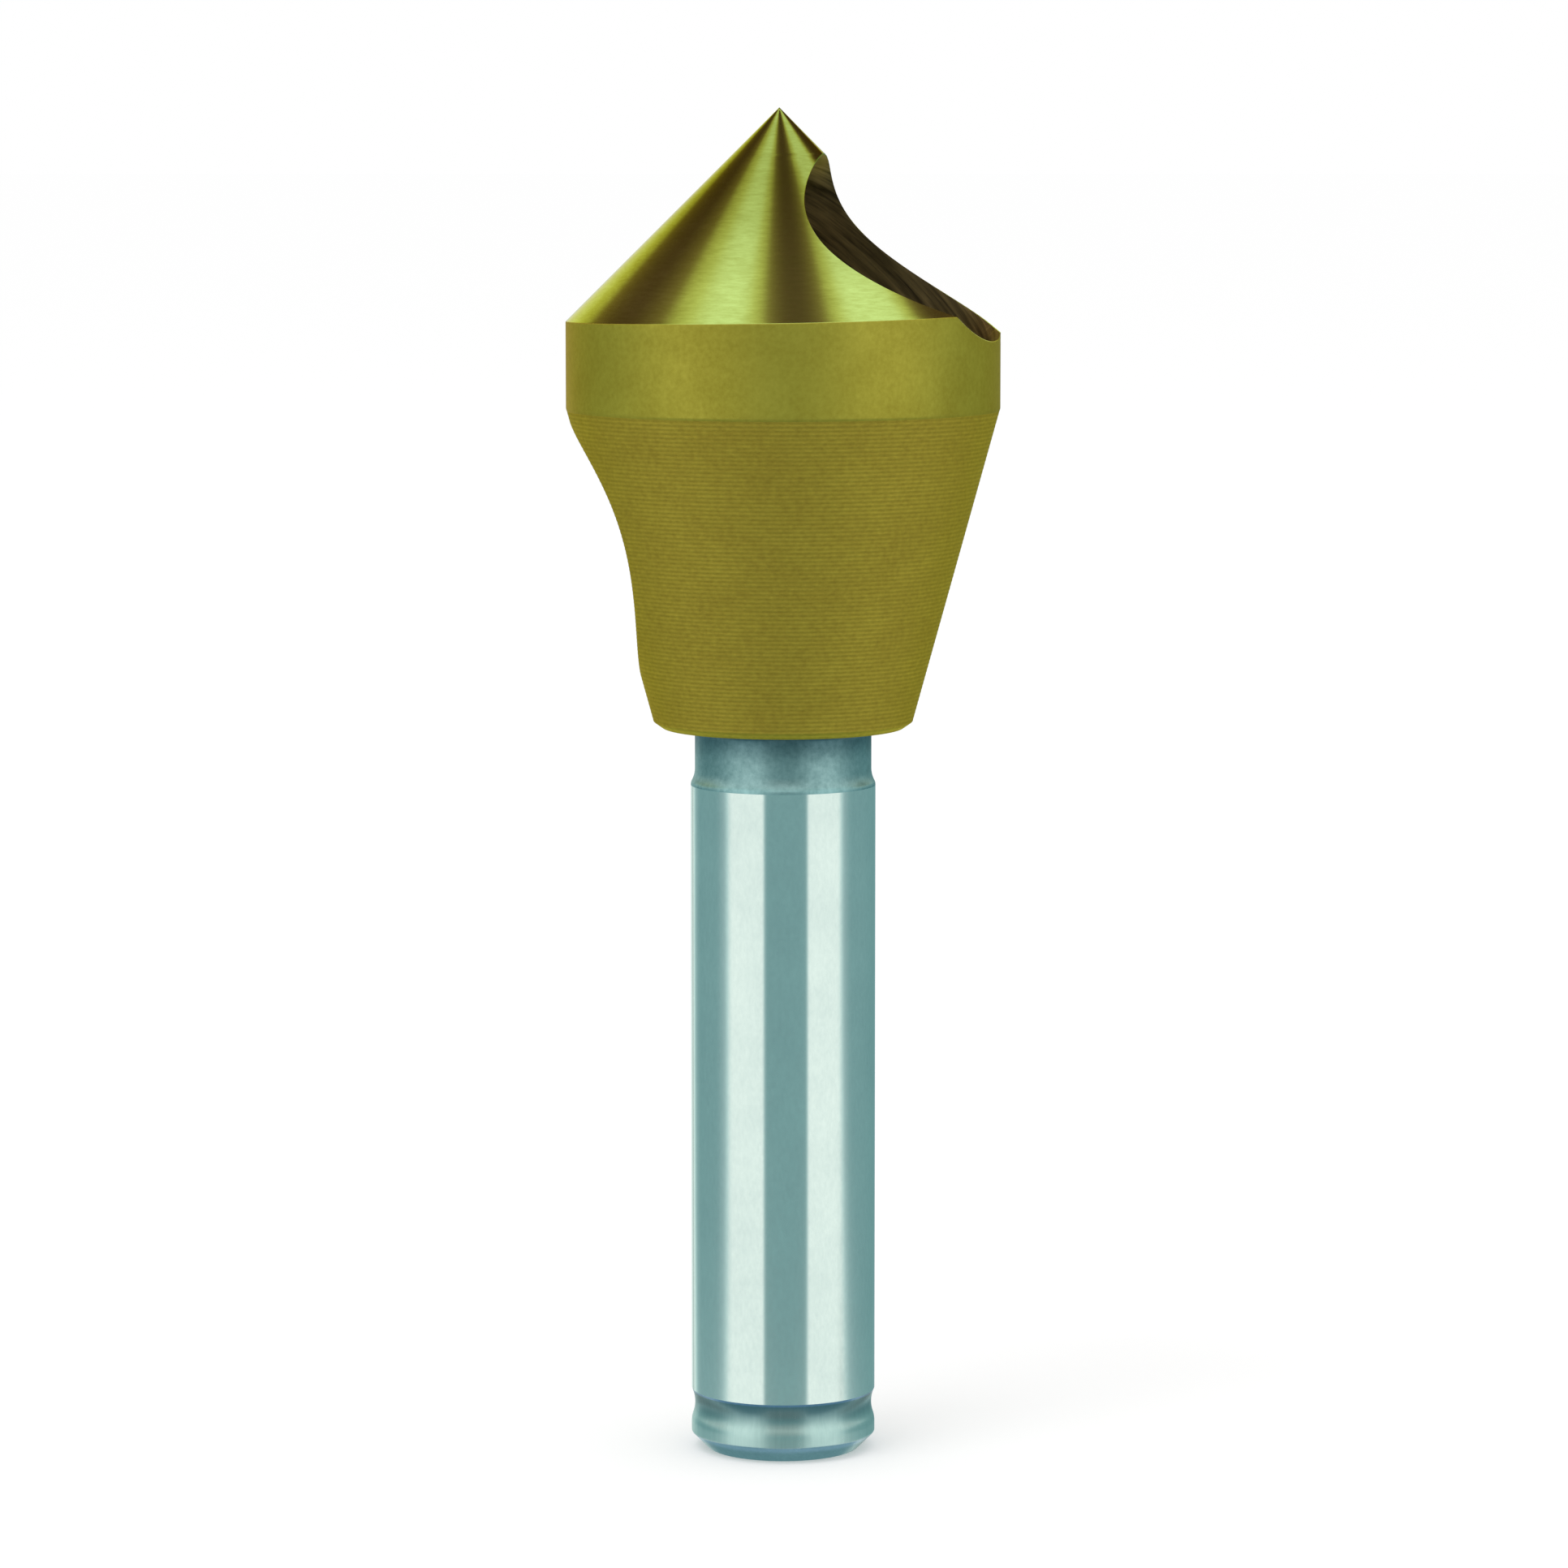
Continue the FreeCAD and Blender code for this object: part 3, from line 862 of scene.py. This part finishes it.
@dataclass(frozen=True)
class MetalFinish:
    """One worked metal surface: a colour that wanders between two tones, fine lines, and broader clouds.

    The lines and the clouds are noises, given in features per metre along three directions, and are drawn
    out into streaks where that number is low. Roughness is given for the dull tone and for the bright one,
    and relief is the lines' height in metres. Around is how far the highlight spreads along the bar, from 0
    to 1, across scratches that run round it.
    """

    name: str
    dull: Triple
    bright: Triple
    roughness: Pair
    lines: Triple
    clouds: Triple
    line_share: float
    relief: float
    tint: Triple = (1.0, 1.0, 1.0)
    turn: Triple = (0.0, 0.0, 0.0)
    around: float = 0.0
    climbs: tuple[Climb, ...] = ()
    rings: RingValleyShade | None = None

    def make(self) -> bpy.types.Material:
        """Builds the material.

        Returns:
            The material, wired from the object's own coordinates.
        """
        material = bpy.data.materials.new(self.name)
        sketch = NodeSketch(material)
        spot = sketch.add("TexCoord").outputs["Object"]
        height = sketch.add("SeparateXYZ", {"Vector": spot}).outputs["Z"]
        lines = sketch.noise(spot, self.lines, self.turn, detail=4.0, roughness=0.65)
        clouds = sketch.noise(spot, self.clouds, self.turn, detail=3.0, roughness=0.55)
        both = sketch.average(clouds, lines, self.line_share)
        colour = sketch.blend(sketch.remap(both, NOISE_MIDDLE), self.dull, self.bright)
        # The climbs and the ring valleys multiply tones into the colour by height; most are painted shade and
        # highlights.
        for climb in self.climbs:
            reach = (climb.start * MILLIMETRE, climb.end * MILLIMETRE)
            share = sketch.remap(height, reach, smooth=True)
            colour = sketch.blend(share, colour, climb.tone, multiply=True)
        # Painted shade: the valleys of the tool rings are darkened, more in some clouds than in others.
        if self.rings:
            crest, valley = self.rings.crest, self.rings.crest + 0.5 * self.rings.pitch
            saw = sketch.remap(height, (crest * MILLIMETRE, valley * MILLIMETRE), clamp=False)
            valley_shade_range = sketch.remap(clouds, NOISE_MIDDLE, self.rings.valley_shade_range)
            share = sketch.maths("MULTIPLY", sketch.maths("PINGPONG", saw, 1.0), valley_shade_range)
            colour = sketch.blend(share, colour, self.rings.tone, multiply=True)
        bump = sketch.add("Bump", {"Strength": 1.0, "Distance": self.relief, "Height": lines})
        inputs = {"Base Color": colour, "Roughness": sketch.remap(both, NOISE_MIDDLE, self.roughness),
                  "Metallic": 1.0, "Specular Tint": self.tint, "Normal": bump.outputs["Normal"]}
        if self.around:
            tangent = sketch.add("Tangent", direction_type="RADIAL", axis="Z").outputs["Tangent"]
            inputs |= {"Tangent": tangent, "Anisotropic": self.around, "Anisotropic Rotation": QUARTER_TURN}
        sketch.fill(sketch.tree.nodes["Principled BSDF"], inputs)
        return material


def head_finishes(bit: CountersinkBit) -> dict[Area, MetalFinish]:
    """Gives the finishes of the gold-coloured head.

    Args:
        bit: The bit, whose hole and tool rings the patterns follow.

    Returns:
        A finish for each area of the head.
    """
    gold, satin = (0.80, 0.74, 0.34), (1.0, 0.70, 0.45)
    point, bar = bit.point, bit.bar
    return {
        Area.FLANK: MetalFinish(
            name="ground_gold", dull=(0.46, 0.585, 0.140), bright=(0.64, 0.855, 0.268),
            roughness=(0.15, 0.11), lines=(1100.0, 1100.0, 6500.0), clouds=(150.0, 150.0, 420.0),
            line_share=0.65, relief=0.3e-6, tint=gold,
            # Painted shade: the flank gets darker and warmer towards the tip.
            climbs=(Climb(point.edge_height + 0.2, point.tip_height - 3.9, tone=(0.66, 0.64, 0.50)),)),
        Area.BAND: MetalFinish(
            name="satin_gold", dull=(0.375, 0.325, 0.037), bright=(0.52, 0.475, 0.068),
            roughness=(0.56, 0.50), lines=(3200.0, 3200.0, 3200.0), clouds=(260.0, 260.0, 260.0),
            line_share=0.5, relief=4.0e-6, tint=satin),
        Area.TAPER: MetalFinish(
            name="turned_gold", dull=(0.495, 0.379, 0.052), bright=(0.70, 0.556, 0.076),
            roughness=(0.70, 0.62), lines=(2600.0, 2600.0, 3800.0), clouds=(260.0, 260.0, 420.0),
            line_share=0.6, relief=3.0e-6, tint=gold,
            # Painted highlight: the foot of the taper and the bevel below it are lightened.
            climbs=(Climb(bar.taper_foot + 0.08, bar.taper_foot - 0.12, tone=(1.6, 1.6, 1.6)),),
            # Painted shade in the valleys of the tool rings.
            rings=RingValleyShade(crest=bar.band_foot - 0.5 * bar.ring_pitch, pitch=bar.ring_pitch,
                           tone=(0.80, 0.80, 0.78))),
        # The streaks are the bore's machining marks; its near-black dull tone is painted shade inside the
        # bore.
        Area.HOLE: MetalFinish(
            name="bore_marks_and_shade", dull=(0.0, 0.0, 0.006), bright=(0.53, 0.405, 0.175),
            roughness=(0.38, 0.52), lines=(160.0, 160.0, 3200.0), clouds=(90.0, 90.0, 420.0),
            line_share=0.75, relief=8.0e-6, tint=gold, turn=bit.hole.turn),
    }


def shank_finishes(bar: TurnedBar) -> dict[Area, MetalFinish]:
    """Gives the finishes of the bare steel below the head.

    The end's climbs paint light and shade by height: painted shade over the groove's upper half, and a
    painted reflection of a blue-grey ground below as a thin blue line at its upper lip and the chamfer's
    edge.

    Args:
        bar: The turned bar, whose neck, groove and chamfer the climbs follow.

    Returns:
        A finish for each area of the neck, shank and end.
    """
    steel = (0.80, 0.90, 0.88)
    return {
        # Tones darker than the shank's: partly the rougher turned finish, partly painted shade under the
        # head.
        Area.NECK: MetalFinish(
            name="turned_steel", dull=(0.18, 0.34, 0.34), bright=(0.37, 0.59, 0.58),
            roughness=(0.44, 0.34), lines=(2600.0, 2600.0, 2600.0), clouds=(260.0, 260.0, 500.0),
            line_share=0.55, relief=3.0e-6, tint=steel,
            # The first climb is painted shade towards the head; the second cools the foot of the hollow a
            # little.
            climbs=(Climb(bar.hollow_height + 0.196, bar.underside - 0.05, tone=(0.34, 0.42, 0.47)),
                    Climb(bar.shank_top + 0.33, bar.shank_top + 0.03, tone=(0.98, 1.05, 1.06)))),
        Area.SHANK: MetalFinish(
            name="ground_steel", dull=(0.65, 0.79, 0.740), bright=(0.77, 0.91, 0.840),
            roughness=(0.14, 0.10), lines=(3600.0, 3600.0, 1800.0), clouds=(300.0, 300.0, 300.0),
            line_share=0.5, relief=0.2e-6, tint=steel, around=0.5),
        Area.END: MetalFinish(
            name="brushed_steel", dull=(0.42, 0.63, 0.59), bright=(0.55, 0.77, 0.72),
            roughness=(0.34, 0.26), lines=(3800.0, 3800.0, 300.0), clouds=(300.0, 300.0, 500.0),
            line_share=0.6, relief=1.0e-6, tint=steel,
            # Painted shade over the groove's upper half, then painted reflections: blue lines at its lip and
            # the chamfer's edge.
            climbs=(Climb(bar.groove_height - 0.85, bar.groove_height + 0.25, tone=(0.42, 0.50, 0.54)),
                    Climb(bar.groove_height + 0.77, bar.groove_height + 0.91, tone=(1.5, 1.4, 1.85)),
                    Climb(bar.chamfer + 0.10, bar.chamfer - 0.07, tone=(1.40, 1.20, 1.38)),
                    Climb(bar.chamfer - 0.15, bar.chamfer - 0.50, tone=(0.70, 0.79, 0.70)))),
    }


class CardTone(Enum):
    """The tones of the cards, as stops from the border, which meets the white surround, to the middle."""

    COOL = ((0.25, (0.60, 0.74, 0.76)), (0.5, (0.38, 0.50, 0.53)), (1.0, (0.227, 0.37, 0.396)))
    DIM = ((0.5, (0.60, 0.63, 0.63)), (1.0, (0.415, 0.435, 0.435)))
    BROWN = ((0.2, (0.78, 0.70, 0.42)), (0.42, (0.60, 0.50, 0.25)), (0.62, (0.25, 0.15, 0.085)),
             (1.0, (0.105, 0.050, 0.045)))
    SLATE = ((0.5, (0.38, 0.48, 0.53)), (1.0, (0.23, 0.36, 0.42)))


@dataclass(frozen=True)
class ReflectionCard:
    """A flat card that only shows in the metal, as a studio flag does, so that it mirrors more than white.

    The card stands square to the line from the object's middle at its azimuth and elevation, and has a half
    width and a half height, all in degrees. Azimuth 0 is towards the camera and grows to the right. Its tone
    fades to the white surround along its borders, by 3w^2 - 2w^3 over the given shares of width and height.
    """

    name: str
    tone: CardTone
    azimuth: float
    elevation: float
    half_width: float
    half_height: float
    fade_across: float = 0.05
    fade_up: float = 0.05
    distance: float = 1.6

    def build(self, middle: Triple) -> bpy.types.Object:
        """Builds the card as one face with its own UV map.

        Args:
            middle: The point that it faces, in metres.

        Returns:
            The card.
        """
        turn, rise = math.radians(self.azimuth), math.radians(self.elevation)
        out = np.array([math.sin(turn) * math.cos(rise), -math.cos(turn) * math.cos(rise), math.sin(rise)])
        side = np.array([math.cos(turn), math.sin(turn), 0.0])
        up = np.cross(side, -out)
        halves = (self.half_width, self.half_height)
        reach = [self.distance * math.tan(math.radians(half)) for half in halves]
        share = np.array([(0.0, 0.0), (1.0, 0.0), (1.0, 1.0), (0.0, 1.0)])
        offset = (2.0 * share - 1.0) * reach
        corners = np.asarray(middle) + self.distance * out + offset[:, :1] * side + offset[:, 1:] * up
        mesh = bpy.data.meshes.new(self.name)
        mesh.from_pydata(corners.tolist(), [], [(0, 1, 2, 3)])
        mesh.uv_layers.new(name="card").data.foreach_set("uv", share.ravel())
        mesh.materials.append(self.material())
        card = bpy.data.objects.new(self.name, mesh)
        bpy.context.scene.collection.objects.link(card)
        for ray in ("camera", "diffuse", "transmission", "volume_scatter", "shadow"):
            setattr(card, f"visible_{ray}", False)
        return card

    def material(self) -> bpy.types.Material:
        """Makes an even glow of the card's tone that fades to white at the border.

        Returns:
            The glowing material.
        """
        material = bpy.data.materials.new(self.name)
        sketch = NodeSketch(material)
        sketch.tree.nodes.clear()
        parts = sketch.add("SeparateXYZ", {"Vector": sketch.add("UVMap", uv_map="card").outputs["UV"]})
        shares = []
        for axis, reach in (("X", self.fade_across), ("Y", self.fade_up)):
            inward = sketch.maths("PINGPONG", parts.outputs[axis], 0.5)
            shares.append(sketch.remap(inward, (0.0, reach), smooth=True))
        ramp = sketch.add("ValToRGB", {"Fac": sketch.maths("MULTIPLY", *shares)})
        stops = ramp.color_ramp.elements
        stops.remove(stops[1])
        stops[0].color = (*WHITE, 1.0)
        for place, colour in self.tone.value:
            stops.new(place).color = (*colour, 1.0)
        glow = sketch.add("Emission", {"Color": ramp.outputs["Color"]})
        sketch.add("OutputMaterial", {"Surface": glow.outputs["Emission"]})
        return material


# The cards give the shank its grey stripes, the screens behind them tone the neck and the groove, the ground
# card tones what faces down, and the flags make the brown streaks on the flank.
CARDS = (
    ReflectionCard("front_card", CardTone.COOL, azimuth=3.4, elevation=-6.6, half_width=28.8,
                   half_height=10.0, fade_across=0.11),
    ReflectionCard("left_card", CardTone.COOL, azimuth=-109.2, elevation=-6.2, half_width=42.8,
                   half_height=14.0, fade_across=0.36, fade_up=0.30),
    ReflectionCard("right_card", CardTone.COOL, azimuth=132.3, elevation=-6.2, half_width=60.0,
                   half_height=16.0, fade_across=0.30, fade_up=0.30),
    ReflectionCard("front_screen", CardTone.DIM, azimuth=2.0, elevation=-6.6, half_width=27.5,
                   half_height=38.0, fade_across=0.11, distance=1.8),
    ReflectionCard("left_screen", CardTone.DIM, azimuth=-116.5, elevation=-6.6, half_width=49.5,
                   half_height=32.0, fade_across=0.33, fade_up=0.20, distance=1.8),
    ReflectionCard("right_screen", CardTone.DIM, azimuth=131.3, elevation=-6.6, half_width=59.0,
                   half_height=32.0, fade_across=0.28, fade_up=0.20, distance=1.8),
    ReflectionCard("ground_card", CardTone.SLATE, azimuth=0.0, elevation=-90.0, half_width=64.0,
                   half_height=64.0, fade_across=0.15, fade_up=0.15),
    ReflectionCard("top_flag", CardTone.BROWN, azimuth=90.0, elevation=87.6, half_width=14.9,
                   half_height=16.0, fade_across=0.40, fade_up=0.46),
    ReflectionCard("back_left_flag", CardTone.BROWN, azimuth=-133.2, elevation=41.0, half_width=34.5,
                   half_height=33.0, fade_across=0.52, fade_up=0.46),
    ReflectionCard("back_right_flag", CardTone.BROWN, azimuth=141.0, elevation=36.0, half_width=31.0,
                   half_height=26.0, fade_across=0.28, fade_up=0.30),
)


@dataclass(frozen=True)
class Studio:
    """The floor, the white surround, the cards, a soft lamp and the camera, in metres and degrees."""

    floor_half: float = 6.0
    floor_points: int = 9
    floor_colour: Triple = (0.86, 0.86, 0.86)
    floor_lift: float = 0.22
    surround_level: float = 0.9
    lamp_place: Triple = (-0.35, -0.35, 0.8)
    lamp_tilt: float = 31.7
    lamp_turn: float = -45.0
    lamp_size: float = 0.5
    lamp_power: float = 1.2
    camera_distance: float = 0.387679
    camera_height: float = 0.0885395
    camera_side: float = 0.0000576
    camera_tilt: float = 6.594
    camera_near: float = 0.01
    lens: float = 137.96
    sensor: float = 36.0
    card_middle: Triple = (0.0, 0.0, 0.045)
    cards: tuple[ReflectionCard, ...] = CARDS

    def build_floor(self) -> bpy.types.Object:
        """Builds the plain pale floor, lifted to white for the camera alone, so that it still takes a shadow.

        Returns:
            The floor.
        """
        count = self.floor_points
        share = np.linspace(-1.0, 1.0, count) * self.floor_half
        x, y = np.meshgrid(share, share)
        points = np.stack([x, y, np.zeros_like(x)], axis=-1).reshape(-1, 3)
        number = np.arange(count * count).reshape(count, count)
        quads = np.stack([number[:-1, :-1], number[:-1, 1:], number[1:, 1:], number[1:, :-1]], axis=-1)
        mesh = bpy.data.meshes.new("studio_floor")
        mesh.from_pydata(points.tolist(), [], quads.reshape(-1, 4).tolist())
        mesh.materials.append(self.floor_material())
        floor = bpy.data.objects.new("studio_floor", mesh)
        bpy.context.scene.collection.objects.link(floor)
        floor.visible_glossy = False
        return floor

    def floor_material(self) -> bpy.types.Material:
        """Makes the floor's pale matt finish, with a glow that only the camera sees.

        Returns:
            The floor's material.
        """
        material = bpy.data.materials.new("floor_white")
        sketch = NodeSketch(material)
        seen = sketch.add("LightPath").outputs["Is Camera Ray"]
        matt = {"Base Color": self.floor_colour, "Roughness": 1.0, "Specular IOR Level": 0.0}
        lift = sketch.maths("MULTIPLY", seen, self.floor_lift)
        glow = {"Emission Color": WHITE, "Emission Strength": lift}
        sketch.fill(sketch.tree.nodes["Principled BSDF"], matt | glow)
        return material

    def build_surround(self) -> None:
        """Makes the world white where the camera or the metal sees it, and a plain level where it lights."""
        world = bpy.data.worlds.new("white_surround")
        bpy.context.scene.world = world
        sketch = NodeSketch(world)
        path = sketch.add("LightPath")
        seen = path.outputs["Is Camera Ray"]
        for ray in ("Is Glossy Ray", "Is Transmission Ray"):
            seen = sketch.maths("MAXIMUM", seen, path.outputs[ray])
        level = sketch.remap(seen, (0.0, 1.0), (self.surround_level, 1.0))
        sketch.fill(sketch.tree.nodes["Background"], {"Color": WHITE, "Strength": level})

    def build_lamp(self) -> None:
        """Hangs one wide soft lamp above the front left, for the shadow on the floor."""
        lamp = bpy.data.lights.new("soft_lamp", "AREA")
        lamp.shape = "DISK"
        lamp.size = self.lamp_size
        lamp.energy = self.lamp_power
        hung = bpy.data.objects.new("soft_lamp", lamp)
        hung.location = self.lamp_place
        hung.rotation_euler = (math.radians(self.lamp_tilt), 0.0, math.radians(self.lamp_turn))
        hung.visible_glossy = False
        bpy.context.scene.collection.objects.link(hung)

    def build_camera(self) -> None:
        """Sets the camera at the photograph's viewing angle."""
        data = bpy.data.cameras.new("photo_camera")
        data.sensor_width = self.sensor
        data.lens = self.lens
        data.clip_start = self.camera_near
        camera = bpy.data.objects.new("photo_camera", data)
        camera.location = (self.camera_side, -self.camera_distance, self.camera_height)
        camera.rotation_euler = (math.radians(90.0 - self.camera_tilt), 0.0, 0.0)
        bpy.context.scene.collection.objects.link(camera)
        bpy.context.scene.camera = camera

    def build(self) -> None:
        """Builds the whole stage and sets the plain view transform."""
        bpy.context.scene.view_settings.view_transform = "Standard"
        self.build_floor()
        self.build_surround()
        for card in self.cards:
            card.build(self.card_middle)
        self.build_lamp()
        self.build_camera()


def main() -> None:
    """Builds the bit, dresses it and sets the stage."""
    logging.basicConfig(level=logging.INFO, format="%(name)s: %(message)s")
    bit = CountersinkBit()
    piece = bit.build()
    finishes = head_finishes(bit) | shank_finishes(bit.bar)
    for area in Area:
        piece.data.materials.append(finishes[area].make())
        log.info("finish %s on the %s", finishes[area].name, area.name.lower())
    triangles = sum(len(face.vertices) - 2 for face in piece.data.polygons)
    log.info("piece %s has %d triangles", piece.name, triangles)
    Studio().build()


if __name__ == "__main__":
    main()
